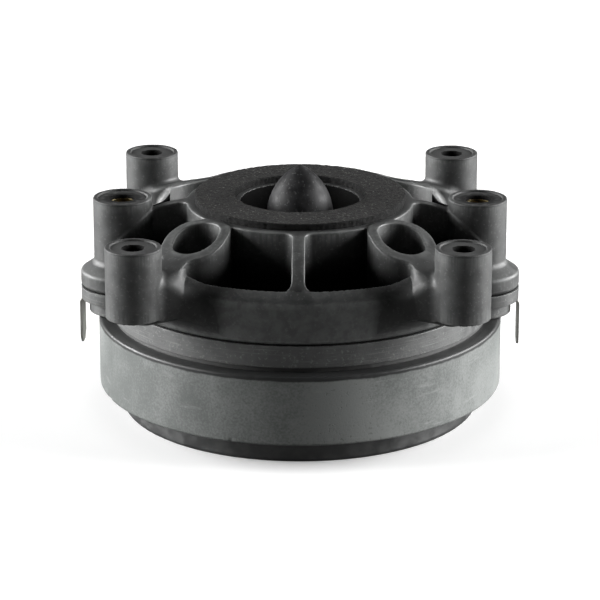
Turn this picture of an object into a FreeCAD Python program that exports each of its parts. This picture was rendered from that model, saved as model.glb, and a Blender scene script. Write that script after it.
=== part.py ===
import FreeCAD, Part
import math
import os

# Compression driver: a ring magnet motor with a moulded throat housing on top.
# Millimetres, +Z along the throat's axis, origin at the centre of the back plate's underside.
# The two mid posts stand at +X and -X, the four corner posts at the corners.

os.makedirs("parts", exist_ok=True)

V = FreeCAD.Vector
ORIGIN = V(0, 0, 0)
UP = V(0, 0, 1)

# Fixing pattern and throat
TWO_HOLE_SPACING = 76.2
FOUR_HOLE_SPACING_X = 67.4
FOUR_HOLE_SPACING_Y = 71.0
THROAT_R = 12.7
INSERT_BORE_R = 2.5
CORNER_HOLE_R = 2.2

# Motor
BACK_PLATE_INSET = 4.9
BACK_PLATE_T = 5.5
BACK_PLATE_EDGE_R = 1.0
MAGNET_PROUD = 2.5
MAGNET_BORE_R = 25.0
MAGNET_T = 15.1
MAGNET_EDGE_R = 0.5
TOP_PLATE_T = 4.5
FLANGE_T = 1.1
FLANGE_INSET = 0.6
POLE_R = 16.4
SPIGOT_R = 9.0
SPIGOT_L = 4.0
SPIGOT_CLEARANCE = 0.02
POLE_CAP_T = 0.3
POLE_CAP_SKIRT = 6.0
FELT_INSET = 3.4
FELT_T = 2.0

# Diaphragm and voice coil
FORMER_CLEARANCE = 0.4
FORMER_T = 0.2
FORMER_TAIL = 0.35
WINDING_T = 0.55
WINDING_H = 4.2
WINDING_CLEARANCE = 0.4
DOME_H = 5.4
FILM_T = 0.2
DOME_LIP_IN = 0.3
DOME_LIP_OUT = 0.2
ROLL_R = 1.3
ROLL_FLAT = 0.4
CLAMP_W = 2.0

# Carrier, seal and terminals
DECK_T = 1.2
SKIRT_T = 2.4
SKIRT_CLEARANCE = 0.2
SCREW_LAND = 7.9
SCREW_EDGE = 7.8
EAR_R = 9.2
CARRIER_EAR_T = 2.6
BOSS_R = 7.5
BOSS_CLEARANCE = 0.2
SEAL_T = 0.3
SEAL_INSET = 0.4
SEAL_CLEARANCE = 0.3
TAB_W = 4.8
TAB_T = 0.5
TAB_DROP = 10.4
TAB_GAP = 3.9
TAB_INNER_GAP = 0.8
TAB_TIP_W = 2.2
TAB_TIP_L = 1.8
TAB_HOLE_W = 1.3
TAB_HOLE_L = 2.4
TAB_HOLE_DROP = 2.4
TAB_SLOT_CLEARANCE = 0.05
TAB_BEND_R = 0.5
TAB_TURN_LEFT = 5.0
RIVET_R = 1.2
RIVET_HEAD_R = 1.9
RIVET_HEAD_T = 0.2
RIVET_OFFSET = 1.4
RIVET_LAND = 0.3
RIVET_CLEARANCE = 0.05
RIVET_TAIL_ROOM = 1.0
LEAD_W = 1.4
LEAD_T = 0.15
LEAD_CLEARANCE = 0.05

# Throat housing
BODY_SIDE_H = 8.8
BODY_H = 18.8
SHOULDER_INSET = 1.7
HUB_WALL = 1.4
RIM_T = 1.8
POCKET_FLOOR_T = 3.4
POCKET_CORNER_R = 1.7
POCKET_FLOOR_BEVEL = 0.9
FRONT_RIB_T = 2.7
MID_RIB_T = 2.5
ARM_SLOPE = 0.31
ARM_R = 7.7
NECK_IN = 1.4
NECK_W = 9.4
NECK_BAR_W = 6.0
WELL_R = 4.65
WELL_STRETCH = 0.7
WELL_FLOOR_T = 4.4
LUG_PROUD_X = 1.3
LUG_PROUD_Y = 1.5
LUG_W = 13.0
LUG_LIFT = 4.3
LUG_TOP_DROP = 5.0
LUG_ROUND_R = 4.6
LUG_FILLET_R = 2.5
POST_PROUD = 0.6
MID_POST_R = 6.3
CORNER_POST_R = 5.84
POST_FOOT_R = 2.2
RECESS_DEPTH = 0.3
MID_RECESS_R = 5.1
CORNER_RECESS_R = 4.15
COLLAR_BORE_R = 2.7
COLLAR_H = 0.9
INSERT_R = 3.6
INSERT_L = 10.0
BLIND_BORE_L = 3.0
EAR_RIM_T = 4.3
EAR_TOP_T = 5.9
CAVITY_CLEARANCE = 0.5
CAVITY_HEADROOM = 0.25

# Phase plug and throat gasket
PLUG_GAP = 0.65
PLUG_SEAT_W = 1.0
PLUG_H = 10.8
PLUG_FOOT_INSET = 0.1
PLUG_FOOT_LIFT = 0.9
PLUG_CLEARANCE = 0.1
BULLET_R = 7.2
BULLET_ARC_R = 12.8
BULLET_TIP_R = 0.8
BULLET_PROUD = 7.8
INNER_SLOT_R = 5.6
INNER_SLOT_W = 0.8
INNER_SLOT_TOP_W = 1.4
OUTER_RING_W = 5.0
OUTER_RING_TOP_W = 1.3
OUTER_SLOT_W = 0.8
OUTER_SLOT_TOP_W = 1.1
VANE_T = 1.2
VANE_COUNT = 4
VANE_REACH = 2.5
SLOT_TURN = 20.0
GASKET_INSET = 1.6
GASKET_BORE_MARGIN = 1.1
GASKET_T = 1.5
GASKET_EDGE_R = 0.35

# Assembly screws
SCREW_R = 2.0
SCREW_CLEARANCE = 0.15
THREAD_CLEARANCE = 0.05
SCREW_GRIP = 3.6
SCREW_HEAD_R = 3.8
SCREW_HEAD_H = 2.6
SCREW_CROWN_R = 0.9
CROSS_W = 0.9
CROSS_L = 4.2
CROSS_DEPTH = 1.4

# Reach of cutters past the surface they cut, and the tolerance that finds an edge by its level
CUTTER_REACH = 20.0
LEVEL_TOLERANCE = 0.01

# Levels along the axis, from the back plate's underside up
Z_MAGNET = BACK_PLATE_T
Z_TOP_PLATE = Z_MAGNET + MAGNET_T
Z_SKIRT = Z_TOP_PLATE + FLANGE_T
Z_DECK = Z_TOP_PLATE + TOP_PLATE_T
Z_SEAL = Z_DECK + DECK_T
Z_BODY = Z_SEAL + SEAL_T
Z_SHOULDER = Z_BODY + BODY_SIDE_H
Z_SEAT = Z_BODY + BODY_H
Z_POST = Z_SEAT + POST_PROUD
Z_LUG = Z_BODY + LUG_LIFT
Z_LUG_TOP = Z_POST - LUG_TOP_DROP
Z_POCKET = Z_BODY + POCKET_FLOOR_T
Z_WELL = Z_BODY + WELL_FLOOR_T
Z_CARRIER_EAR = Z_SEAL - CARRIER_EAR_T
Z_BOSS = Z_TOP_PLATE + BOSS_CLEARANCE
Z_FILM = Z_SEAL
Z_ABOVE = Z_POST + CUTTER_REACH

# Radii and places that follow from the sizes above
MID_POST_X = TWO_HOLE_SPACING / 2
CORNER_X = FOUR_HOLE_SPACING_X / 2
CORNER_Y = FOUR_HOLE_SPACING_Y / 2
FELT_R = POLE_R - FELT_INSET
POLE_CAP_R = POLE_R + POLE_CAP_T
FORMER_BORE_R = POLE_CAP_R + FORMER_CLEARANCE
FORMER_R = FORMER_BORE_R + FORMER_T
WINDING_R = FORMER_R + WINDING_T
GAP_R = WINDING_R + WINDING_CLEARANCE
Z_WINDING = Z_TOP_PLATE + (TOP_PLATE_T - WINDING_H) / 2
DOME_FOOT_R = FORMER_BORE_R - DOME_LIP_IN
DOME_RIM_R = FORMER_R + DOME_LIP_OUT
ROLL_CENTRE_R = DOME_RIM_R + ROLL_FLAT + ROLL_R
DECK_BORE_R = ROLL_CENTRE_R + ROLL_R - FILM_T / 2
CAVITY_R = DECK_BORE_R + CLAMP_W + CAVITY_CLEARANCE
WELL_CIRCLE_R = CAVITY_R + SCREW_LAND
SKIRT_BORE_R = WELL_CIRCLE_R + SCREW_EDGE
BODY_R = SKIRT_BORE_R + SKIRT_T
MAGNET_R = BODY_R + MAGNET_PROUD
BACK_PLATE_R = MAGNET_R - BACK_PLATE_INSET
TOP_PLATE_R = SKIRT_BORE_R - SKIRT_CLEARANCE
FLANGE_R = BODY_R - FLANGE_INSET
HUB_R = CAVITY_R + HUB_WALL
SHOULDER_START_R = HUB_R - SHOULDER_INSET
LUG_FACE_X = CORNER_X + LUG_PROUD_X
LUG_FACE_Y = CORNER_Y + LUG_PROUD_Y
DOME_IN_R = (DOME_FOOT_R ** 2 + DOME_H ** 2) / (2 * DOME_H)
DOME_CENTRE_Z = Z_FILM + DOME_H - DOME_IN_R
DOME_OUT_R = DOME_IN_R + FILM_T
Z_PLUG_FOOT = Z_FILM + PLUG_FOOT_LIFT
Z_PLUG_TOP = Z_PLUG_FOOT + PLUG_H
PLUG_FOOT_R = DOME_RIM_R - PLUG_FOOT_INSET
PLUG_TOP_R = THROAT_R + PLUG_SEAT_W - PLUG_CLEARANCE
OUTER_SLOT_R = PLUG_FOOT_R - OUTER_RING_W - OUTER_SLOT_W
OUTER_SLOT_TOP_R = PLUG_TOP_R - OUTER_RING_TOP_W - OUTER_SLOT_TOP_W
Z_TIP = Z_SEAT + BULLET_PROUD
GASKET_R = HUB_R - GASKET_INSET
GASKET_BORE_R = THROAT_R + GASKET_BORE_MARGIN
RIVET_X = BODY_R + RIVET_OFFSET
TAB_X = MAGNET_R + TAB_GAP
TAB_INNER_X = SKIRT_BORE_R + TAB_INNER_GAP
SIDES = {"left": -1, "right": 1}
DEPTHS = {"front": -1, "back": 1}


def line(start, end):
    """Straight edge between two (radius, height) points."""
    return Part.LineSegment(V(start[0], 0, start[1]), V(end[0], 0, end[1])).toShape()


def arc(centre, radius, start_deg, end_deg):
    """Arc edge about a (radius, height) centre, from one angle to another."""
    points = []
    for degrees in (start_deg, (start_deg + end_deg) / 2, end_deg):
        angle = math.radians(degrees)
        points.append(V(centre[0] + radius * math.cos(angle), 0, centre[1] + radius * math.sin(angle)))
    return Part.Arc(*points).toShape()


def chain(*pieces):
    """Closed outline: the arcs given, joined by straight edges through the points given."""
    edges = []
    first = None
    last = None
    for piece in pieces + (None,):
        if piece is None:
            target = first
        elif isinstance(piece, tuple):
            target = piece
        else:
            point = piece.firstVertex(True).Point
            target = (point.x, point.z)
        if last is not None and math.dist(last, target) > 1e-6:
            edges.append(line(last, target))
        if first is None:
            first = target
        last = target
        if piece is not None and not isinstance(piece, tuple):
            edges.append(piece)
            point = piece.lastVertex(True).Point
            last = (point.x, point.z)
    return Part.Wire(edges)


def turned(*pieces):
    """Solid of revolution about the throat's axis from a closed outline."""
    return Part.Face(chain(*pieces)).revolve(ORIGIN, UP, 360)


def turned_at(x, y, *pieces):
    """Solid of revolution about a vertical axis at (x, y)."""
    solid = turned(*pieces)
    solid.translate(V(x, y, 0))
    return solid


def rod(x, y, radius, bottom, top):
    """Vertical cylinder at (x, y)."""
    return Part.makeCylinder(radius, top - bottom, V(x, y, bottom))


def disc(x, y, radius):
    """Flat round face at height 0."""
    return Part.Face(Part.Wire(Part.makeCircle(radius, V(x, y, 0))))


def block(x0, x1, y0, y1, z0, z1):
    """Box between two corners."""
    return Part.makeBox(x1 - x0, y1 - y0, z1 - z0, V(x0, y0, z0))


def sheet(x0, x1, y0, y1):
    """Flat rectangular face at height 0."""
    return Part.makePlane(x1 - x0, y1 - y0, V(x0, y0, 0))


def raised(face, bottom, top):
    """Flat face extruded between two heights."""
    copy = face.copy()
    copy.translate(V(0, 0, bottom))
    return copy.extrude(V(0, 0, top - bottom))


def joined(shapes):
    """One solid from overlapping ones."""
    shapes = list(shapes)
    return shapes[0].fuse(shapes[1:]).removeSplitter()


def outline_of(faces):
    """One flat face from overlapping ones."""
    return joined(faces).Faces[0]


def mirrored_x(shape):
    """Copy on the other side of the plane x = 0."""
    return shape.mirror(ORIGIN, V(1, 0, 0))


def mirrored_y(shape):
    """Copy on the other side of the plane y = 0."""
    return shape.mirror(ORIGIN, V(0, 1, 0))


def four_ways(shape):
    """The shape and its copies in the other three quarters."""
    right = [shape, mirrored_y(shape)]
    return right + [mirrored_x(copy) for copy in right]


def screw_places():
    """Centres of the four assembly screws, on the diagonals."""
    reach = WELL_CIRCLE_R * math.sqrt(0.5)
    for depth_name, depth in DEPTHS.items():
        for side_name, side in SIDES.items():
            yield f"{depth_name}_{side_name}", side * reach, depth * reach


def back_plate():
    """Steel disc with a rounded lower edge and a blind hole for the pole's spigot."""
    edge = BACK_PLATE_EDGE_R
    return turned(
        (0, 0),
        arc((BACK_PLATE_R - edge, edge), edge, -90, 0),
        (BACK_PLATE_R, BACK_PLATE_T),
        (SPIGOT_R + SPIGOT_CLEARANCE, BACK_PLATE_T),
        (SPIGOT_R + SPIGOT_CLEARANCE, BACK_PLATE_T - SPIGOT_L),
        (0, BACK_PLATE_T - SPIGOT_L),
    )


def magnet():
    """Ferrite ring with softly broken outer edges."""
    edge = MAGNET_EDGE_R
    return turned(
        (MAGNET_BORE_R, Z_MAGNET),
        arc((MAGNET_R - edge, Z_MAGNET + edge), edge, -90, 0),
        arc((MAGNET_R - edge, Z_TOP_PLATE - edge), edge, 0, 90),
        (MAGNET_BORE_R, Z_TOP_PLATE),
    )


def pole_piece():
    """Turned steel pole with a spigot in the back plate."""
    return turned(
        (0, BACK_PLATE_T - SPIGOT_L),
        (SPIGOT_R, BACK_PLATE_T - SPIGOT_L),
        (SPIGOT_R, BACK_PLATE_T),
        (POLE_R, BACK_PLATE_T),
        (POLE_R, Z_DECK),
        (0, Z_DECK),
    )


def pole_cap():
    """Thin copper cup over the pole's end."""
    return turned(
        (POLE_R, Z_DECK - POLE_CAP_SKIRT),
        (POLE_CAP_R, Z_DECK - POLE_CAP_SKIRT),
        (POLE_CAP_R, Z_DECK + POLE_CAP_T),
        (0, Z_DECK + POLE_CAP_T),
        (0, Z_DECK),
        (POLE_R, Z_DECK),
    )


def damping_felt():
    """Felt disc on the pole cap, under the dome."""
    return rod(0, 0, FELT_R, Z_DECK + POLE_CAP_T, Z_DECK + POLE_CAP_T + FELT_T)


def top_plate():
    """Stepped steel ring: its lower flange shows as the dark band above the magnet."""
    plate = turned(
        (GAP_R, Z_TOP_PLATE),
        (FLANGE_R, Z_TOP_PLATE),
        (FLANGE_R, Z_SKIRT),
        (TOP_PLATE_R, Z_SKIRT),
        (TOP_PLATE_R, Z_DECK),
        (GAP_R, Z_DECK),
    )
    hole_r = SCREW_R + THREAD_CLEARANCE
    holes = [rod(x, y, hole_r, Z_TOP_PLATE, Z_DECK) for name, x, y in screw_places()]
    return plate.cut(holes)


def terminal_blank(side, turn_deg, margin):
    """Bent spade tab, grown by a margin, before its holes; it turns about the rivet."""
    top = Z_CARRIER_EAR
    inner = (TAB_INNER_X - margin, top - TAB_T - margin)
    outer_x = TAB_X + margin
    bend = TAB_BEND_R
    outline = chain(
        (inner[0], inner[1]),
        arc((TAB_X - TAB_T - bend - margin, top - TAB_T - bend - margin), bend, 90, 0),
        (TAB_X - TAB_T - margin, top - TAB_DROP - margin),
        (outer_x, top - TAB_DROP - margin),
        arc((TAB_X - TAB_T - bend, top - TAB_T - bend), bend + TAB_T + margin, 0, 90),
        (inner[0], top + margin),
    )
    half = TAB_W / 2 + margin
    strip = Part.Face(outline).extrude(V(0, 2 * half, 0))
    strip.translate(V(0, -half, 0))
    return turned_tab(strip, side, turn_deg)


def turned_tab(shape, side, turn_deg):
    """Tab or cutter swung about the rivet and put on its side."""
    shape = shape.copy()
    shape.rotate(V(RIVET_X, 0, 0), UP, turn_deg)
    return shape if side > 0 else mirrored_x(shape)


def terminal(side, turn_deg):
    """Spade tab: rivet hole, tapered tip and the solder slot through the blade."""
    tip_z = Z_CARRIER_EAR - TAB_DROP
    slot_z = Z_CARRIER_EAR - TAB_HOLE_DROP
    cutters = [rod(RIVET_X, 0, RIVET_R + RIVET_CLEARANCE, Z_BOSS, Z_SEAL)]
    for sign in (-1, 1):
        corner = [
            V(0, sign * TAB_W, tip_z - TAB_TIP_L),
            V(0, sign * TAB_TIP_W / 2, tip_z),
            V(0, sign * TAB_W / 2, tip_z + TAB_TIP_L),
            V(0, sign * TAB_W, tip_z + TAB_TIP_L),
        ]
        cutters.append(Part.Face(Part.makePolygon(corner + corner[:1])).extrude(V(2 * TAB_X, 0, 0)))
    half = TAB_HOLE_W / 2
    straight = TAB_HOLE_L / 2 - half
    start = RIVET_X + RIVET_HEAD_R
    cutters.append(block(start, TAB_X + CUTTER_REACH, -half, half, slot_z - straight, slot_z + straight))
    for lift in (-straight, straight):
        cutters.append(Part.makeCylinder(half, CUTTER_REACH, V(start, 0, slot_z + lift), V(1, 0, 0)))
    cutters = [turned_tab(cutter, side, turn_deg) for cutter in cutters]
    return terminal_blank(side, turn_deg, 0).cut(cutters)


def rivet(side):
    """Hollow brass rivet that clamps the lead strip and the tab to the carrier's ear."""
    x = side * RIVET_X
    strip_top = Z_SEAL
    head = rod(x, 0, RIVET_HEAD_R, strip_top, strip_top + RIVET_HEAD_T)
    shank = rod(x, 0, RIVET_R, Z_CARRIER_EAR - TAB_T, strip_top)
    tail_r = (RIVET_R + RIVET_HEAD_R) / 2
    tail = rod(x, 0, tail_r, Z_CARRIER_EAR - TAB_T - RIVET_HEAD_T, Z_CARRIER_EAR - TAB_T)
    return joined([head, shank, tail])


def lead_outline(margin):
    """Flat lead strip seen from above: from the coil out to an eye round the rivet."""
    start = FORMER_R + LEAD_CLEARANCE
    half = LEAD_W / 2 + margin
    eye = disc(RIVET_X, 0, RIVET_HEAD_R + margin)
    return outline_of([sheet(start, RIVET_X, -half, half), eye])


def lead(side):
    """Thin strip conductor in the carrier's groove."""
    strip = raised(lead_outline(0), Z_SEAL - LEAD_T, Z_SEAL)
    strip = strip.cut(rod(RIVET_X, 0, RIVET_R + RIVET_CLEARANCE, Z_DECK, Z_BODY))
    return strip if side > 0 else mirrored_x(strip)


def carrier_turns():
    """Turn of each side's terminal about its rivet, in degrees."""
    return {"left": TAB_TURN_LEFT, "right": 0.0}


def diaphragm_carrier():
    """Plastic ring: thin deck under the seal, skirt round the top plate, ears for the terminals."""
    deck = turned((DECK_BORE_R, Z_DECK), (BODY_R, Z_DECK), (BODY_R, Z_SEAL), (DECK_BORE_R, Z_SEAL))
    skirt = turned((SKIRT_BORE_R, Z_SKIRT), (BODY_R, Z_SKIRT), (BODY_R, Z_DECK), (SKIRT_BORE_R, Z_DECK))
    ears = []
    reach = RIVET_X + RIVET_HEAD_R + RIVET_LAND
    land = RIVET_HEAD_R + RIVET_LAND
    for side in SIDES.values():
        ears.append(rod(side * MID_POST_X, 0, EAR_R, Z_CARRIER_EAR, Z_SEAL))
        ears.append(rod(side * MID_POST_X, 0, BOSS_R, Z_BOSS, Z_CARRIER_EAR))
        near, far = sorted((side * MID_POST_X, side * reach))
        ears.append(block(near, far, -land, land, Z_BOSS, Z_SEAL))
    hollow = rod(0, 0, SKIRT_BORE_R, Z_MAGNET, Z_DECK)
    flange_room = rod(0, 0, FLANGE_R + BOSS_CLEARANCE, Z_MAGNET, Z_SKIRT)
    carrier = joined([deck, skirt] + [ear.cut([hollow, flange_room]) for ear in ears])
    cutters = []
    for name, side in SIDES.items():
        cutters.append(terminal_blank(side, carrier_turns()[name], TAB_SLOT_CLEARANCE))
        groove = raised(lead_outline(LEAD_CLEARANCE), Z_SEAL - LEAD_T, Z_BODY)
        cutters.append(groove if side > 0 else mirrored_x(groove))
        cutters.append(rod(side * RIVET_X, 0, RIVET_R + RIVET_CLEARANCE, Z_BOSS, Z_SEAL))
        room_r = RIVET_HEAD_R + RIVET_CLEARANCE
        room_top = Z_CARRIER_EAR - TAB_T
        cutters.append(rod(side * RIVET_X, 0, room_r, room_top - RIVET_TAIL_ROOM, room_top))
    hole_r = SCREW_R + SCREW_CLEARANCE
    cutters += [rod(x, y, hole_r, Z_DECK, Z_SEAL) for name, x, y in screw_places()]
    return carrier.cut(cutters)


def housing_seal():
    """Thin black gasket between the carrier and the housing, a little inside their edge."""
    ring = rod(0, 0, BODY_R - SEAL_INSET, Z_SEAL, Z_BODY)
    ears = [rod(side * MID_POST_X, 0, EAR_R - SEAL_INSET, Z_SEAL, Z_BODY) for side in SIDES.values()]
    cutters = [rod(0, 0, CAVITY_R, Z_SEAL, Z_BODY)]
    for side in SIDES.values():
        cutters.append(rod(side * RIVET_X, 0, RIVET_HEAD_R + SEAL_CLEARANCE, Z_SEAL, Z_BODY))
    hole_r = SCREW_R + SCREW_CLEARANCE
    cutters += [rod(x, y, hole_r, Z_SEAL, Z_BODY) for name, x, y in screw_places()]
    return joined([ring] + ears).cut(cutters)


def dome():
    """Domed film with a flat lip that closes the top of the coil former."""
    lip_angle = math.degrees(math.acos(DOME_FOOT_R / DOME_IN_R))
    top_angle = math.degrees(math.asin((Z_FILM + FILM_T - DOME_CENTRE_Z) / DOME_OUT_R))
    return turned(
        arc((0, DOME_CENTRE_Z), DOME_IN_R, 90, lip_angle),
        (DOME_RIM_R, Z_FILM),
        (DOME_RIM_R, Z_FILM + FILM_T),
        arc((0, DOME_CENTRE_Z), DOME_OUT_R, top_angle, 90),
    )


def surround():
    """Half-roll suspension from the dome's lip to the carrier's deck."""
    inner_r = ROLL_R - FILM_T / 2
    outer_r = ROLL_R + FILM_T / 2
    foot = math.degrees(math.asin(FILM_T / outer_r))
    centre = (ROLL_CENTRE_R, Z_FILM)
    return turned(
        (DOME_RIM_R, Z_FILM),
        arc(centre, inner_r, 180, 0),
        (DECK_BORE_R + CLAMP_W, Z_FILM),
        (DECK_BORE_R + CLAMP_W, Z_FILM + FILM_T),
        arc(centre, outer_r, foot, 180 - foot),
        (DOME_RIM_R, Z_FILM + FILM_T),
    )


def tube(inner, outer, bottom, top):
    """Turned tube on the throat's axis."""
    return turned((inner, bottom), (outer, bottom), (outer, top), (inner, top))


def voice_coil_former():
    """Thin tube that hangs from the dome's lip into the magnet gap."""
    return tube(FORMER_BORE_R, FORMER_R, Z_WINDING - FORMER_TAIL, Z_FILM)


def voice_coil():
    """Winding on the former, level with the top plate."""
    return tube(FORMER_R, WINDING_R, Z_WINDING, Z_WINDING + WINDING_H)


def plug_side_r(height):
    """Radius of the plug's tapered side at a height."""
    share = (height - Z_PLUG_FOOT) / PLUG_H
    return PLUG_FOOT_R + (PLUG_TOP_R - PLUG_FOOT_R) * share


def slot_between(bottom_r, bottom_w, top_r, top_w):
    """Tapered annular slot through the plug's body, carried past both ends."""
    rise = PLUG_H + PLUG_CLEARANCE
    inner_slope = (top_r - bottom_r) / PLUG_H
    outer_slope = (top_r + top_w - bottom_r - bottom_w) / PLUG_H
    low = -PLUG_H / 2
    return turned(
        (bottom_r + inner_slope * low, Z_PLUG_FOOT + low),
        (bottom_r + bottom_w + outer_slope * low, Z_PLUG_FOOT + low),
        (bottom_r + bottom_w + outer_slope * rise, Z_PLUG_FOOT + rise),
        (bottom_r + inner_slope * rise, Z_PLUG_FOOT + rise),
    )


def phase_plug():
    """Bullet and slotted rings in one moulding: hollow underside that follows the dome, pointed nose."""
    hollow_r = DOME_OUT_R + PLUG_GAP
    foot_in = math.sqrt(hollow_r ** 2 - (Z_PLUG_FOOT - DOME_CENTRE_Z) ** 2)
    foot_angle = math.degrees(math.acos(foot_in / hollow_r))
    arc_offset = BULLET_ARC_R - BULLET_R
    nose_rise = math.sqrt((BULLET_ARC_R - BULLET_TIP_R) ** 2 - arc_offset ** 2)
    nose_z = Z_TIP - BULLET_TIP_R - nose_rise
    nose_angle = math.degrees(math.atan2(nose_rise, arc_offset))
    solid = turned(
        arc((0, DOME_CENTRE_Z), hollow_r, 90, foot_angle),
        (PLUG_FOOT_R, Z_PLUG_FOOT),
        (PLUG_TOP_R, Z_PLUG_TOP),
        (BULLET_R, Z_PLUG_TOP),
        arc((-arc_offset, nose_z), BULLET_ARC_R, 0, nose_angle),
        arc((0, nose_z + nose_rise), BULLET_TIP_R, nose_angle, 90),
    )
    slots = [
        slot_between(INNER_SLOT_R, INNER_SLOT_W, BULLET_R, INNER_SLOT_TOP_W),
        slot_between(OUTER_SLOT_R, OUTER_SLOT_W, OUTER_SLOT_TOP_R, OUTER_SLOT_TOP_W),
    ]
    vanes = []
    for index in range(VANE_COUNT):
        vane = block(0, OUTER_SLOT_R + VANE_REACH, -VANE_T / 2, VANE_T / 2, Z_FILM, Z_PLUG_TOP - VANE_T)
        vane.rotate(ORIGIN, UP, (index + 0.5) * 360 / VANE_COUNT)
        vanes.append(vane.common(solid))
    for slot in slots:
        slot.rotate(ORIGIN, UP, SLOT_TURN)
    return joined([solid.cut(slots)] + vanes)


def well_face():
    """Oval outline of a screw well in the back right quarter."""
    reach = WELL_CIRCLE_R * math.sqrt(0.5)
    half = WELL_STRETCH / 2
    oval = outline_of([
        disc(half, 0, WELL_R),
        disc(-half, 0, WELL_R),
        sheet(-half, half, -WELL_R, WELL_R),
    ])
    oval.rotate(ORIGIN, UP, 45)
    oval.translate(V(reach, reach, 0))
    return oval


def arm_face():
    """Plan of one diagonal arm: round boss about the well, square neck and bar to the corner post."""
    reach = WELL_CIRCLE_R * math.sqrt(0.5)
    start = reach - NECK_IN
    neck = sheet(start, start + NECK_W, start, start + NECK_W)
    length = math.hypot(CORNER_X, CORNER_Y)
    bar = sheet(WELL_CIRCLE_R, length, -NECK_BAR_W / 2, NECK_BAR_W / 2)
    bar.rotate(ORIGIN, UP, math.degrees(math.atan2(CORNER_Y, CORNER_X)))
    return outline_of([disc(reach, reach, ARM_R), neck, bar])


def pocket_faces():
    """Plans of the two pockets of the back right quarter, with rounded corners."""
    reach = BODY_R + MID_POST_R
    area = disc(0, 0, BODY_R - RIM_T).common(sheet(0, reach, 0, reach))
    area = area.cut([
        disc(0, 0, HUB_R),
        sheet(0, FRONT_RIB_T / 2, 0, reach),
        sheet(0, reach, 0, MID_RIB_T / 2),
        disc(MID_POST_X, 0, MID_POST_R),
        arm_face(),
    ])
    rounded = []
    for face in area.Faces:
        core = face.makeOffset2D(-POCKET_CORNER_R)
        for piece in core.Faces:
            rounded += piece.makeOffset2D(POCKET_CORNER_R).Faces
    return rounded


def pocket(face):
    """Pocket cutter with a bevelled floor edge."""
    solid = raised(face, Z_POCKET, Z_ABOVE)
    floor_edges = [edge for edge in solid.Edges if edge.BoundBox.ZMax < Z_POCKET + LEVEL_TOLERANCE]
    return solid.makeChamfer(POCKET_FLOOR_BEVEL, floor_edges)


def arm_top():
    """Turned body whose top is the arms' shallow cone."""
    reach = math.hypot(CORNER_X, CORNER_Y) + CORNER_POST_R
    drop = ARM_SLOPE * (reach - HUB_R)
    return turned(
        (0, Z_LUG),
        (reach, Z_LUG),
        (reach, Z_SEAT - drop),
        (HUB_R, Z_SEAT),
        (0, Z_SEAT),
    )


def lug():
    """Bracket block under a corner post's arm, rounded on top, blended into the post in plan."""
    rough = block(LUG_FACE_X - LUG_W, LUG_FACE_X, LUG_FACE_Y - LUG_W, LUG_FACE_Y, Z_LUG, Z_LUG_TOP)
    top_edges = [edge for edge in rough.Edges if edge.BoundBox.ZMin > Z_LUG_TOP - LEVEL_TOLERANCE]
    rounded = rough.makeFillet(LUG_ROUND_R, top_edges)
    plan = outline_of([
        sheet(LUG_FACE_X - LUG_W, LUG_FACE_X, LUG_FACE_Y - LUG_W, LUG_FACE_Y),
        disc(CORNER_X, CORNER_Y, CORNER_POST_R),
    ])
    blended = plan.makeOffset2D(LUG_FILLET_R).makeOffset2D(-LUG_FILLET_R)
    webs = raised(blended, Z_LUG, Z_LUG_TOP - LUG_FILLET_R)
    webs = webs.cut(block(0, LUG_FACE_X, 0, LUG_FACE_Y, 0, Z_ABOVE))
    return joined([rounded, webs])


def foot(x, y, post_r, foot_r, level):
    """Concave ring that runs from a surface at a level up a post."""
    return turned_at(
        x,
        y,
        (0, level - foot_r),
        (post_r + foot_r, level - foot_r),
        arc((post_r + foot_r, level + foot_r), foot_r, 270, 180),
        (0, level + foot_r),
    )


def housing_body():
    """Turned body: straight side, domed shoulder, flat seat, throat and the plug's tapered seat."""
    run = BODY_R - SHOULDER_START_R
    drop = Z_SEAT - Z_SHOULDER
    shoulder_r = (run ** 2 + drop ** 2) / (2 * drop)
    start = math.degrees(math.asin((shoulder_r - drop) / shoulder_r))
    cavity_top = Z_PLUG_FOOT + ROLL_R + CAVITY_HEADROOM
    return turned(
        (CAVITY_R, Z_BODY),
        (BODY_R, Z_BODY),
        arc((SHOULDER_START_R, Z_SEAT - shoulder_r), shoulder_r, start, 90),
        (THROAT_R, Z_SEAT),
        (THROAT_R, Z_PLUG_TOP),
        (PLUG_TOP_R + PLUG_CLEARANCE, Z_PLUG_TOP),
        (plug_side_r(cavity_top) + PLUG_CLEARANCE, cavity_top),
        (CAVITY_R, cavity_top),
    )


def corner_quarter():
    """Arm and lug of the back right corner, without the post."""
    arm = raised(arm_face(), Z_LUG, Z_SEAT).common(arm_top())
    length = math.hypot(CORNER_X, CORNER_Y)
    level = Z_SEAT - ARM_SLOPE * (length - CORNER_POST_R - HUB_R)
    ring = foot(CORNER_X, CORNER_Y, CORNER_POST_R, POST_FOOT_R, level)
    ring = ring.common(raised(arm_face(), Z_LUG, Z_POST))
    return joined([arm, lug(), ring])


def mid_ear(side):
    """Round ear at the foot of a mid post, with a shallow conical top."""
    return turned_at(
        side * MID_POST_X,
        0,
        (0, Z_BODY),
        (EAR_R, Z_BODY),
        (EAR_R, Z_BODY + EAR_RIM_T),
        (MID_POST_R, Z_BODY + EAR_TOP_T),
        (0, Z_BODY + EAR_TOP_T),
    )


def insert_levels():
    """Lowest and highest level of the threaded inserts."""
    top = Z_POST - RECESS_DEPTH - COLLAR_H
    return top - INSERT_L, top


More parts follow.
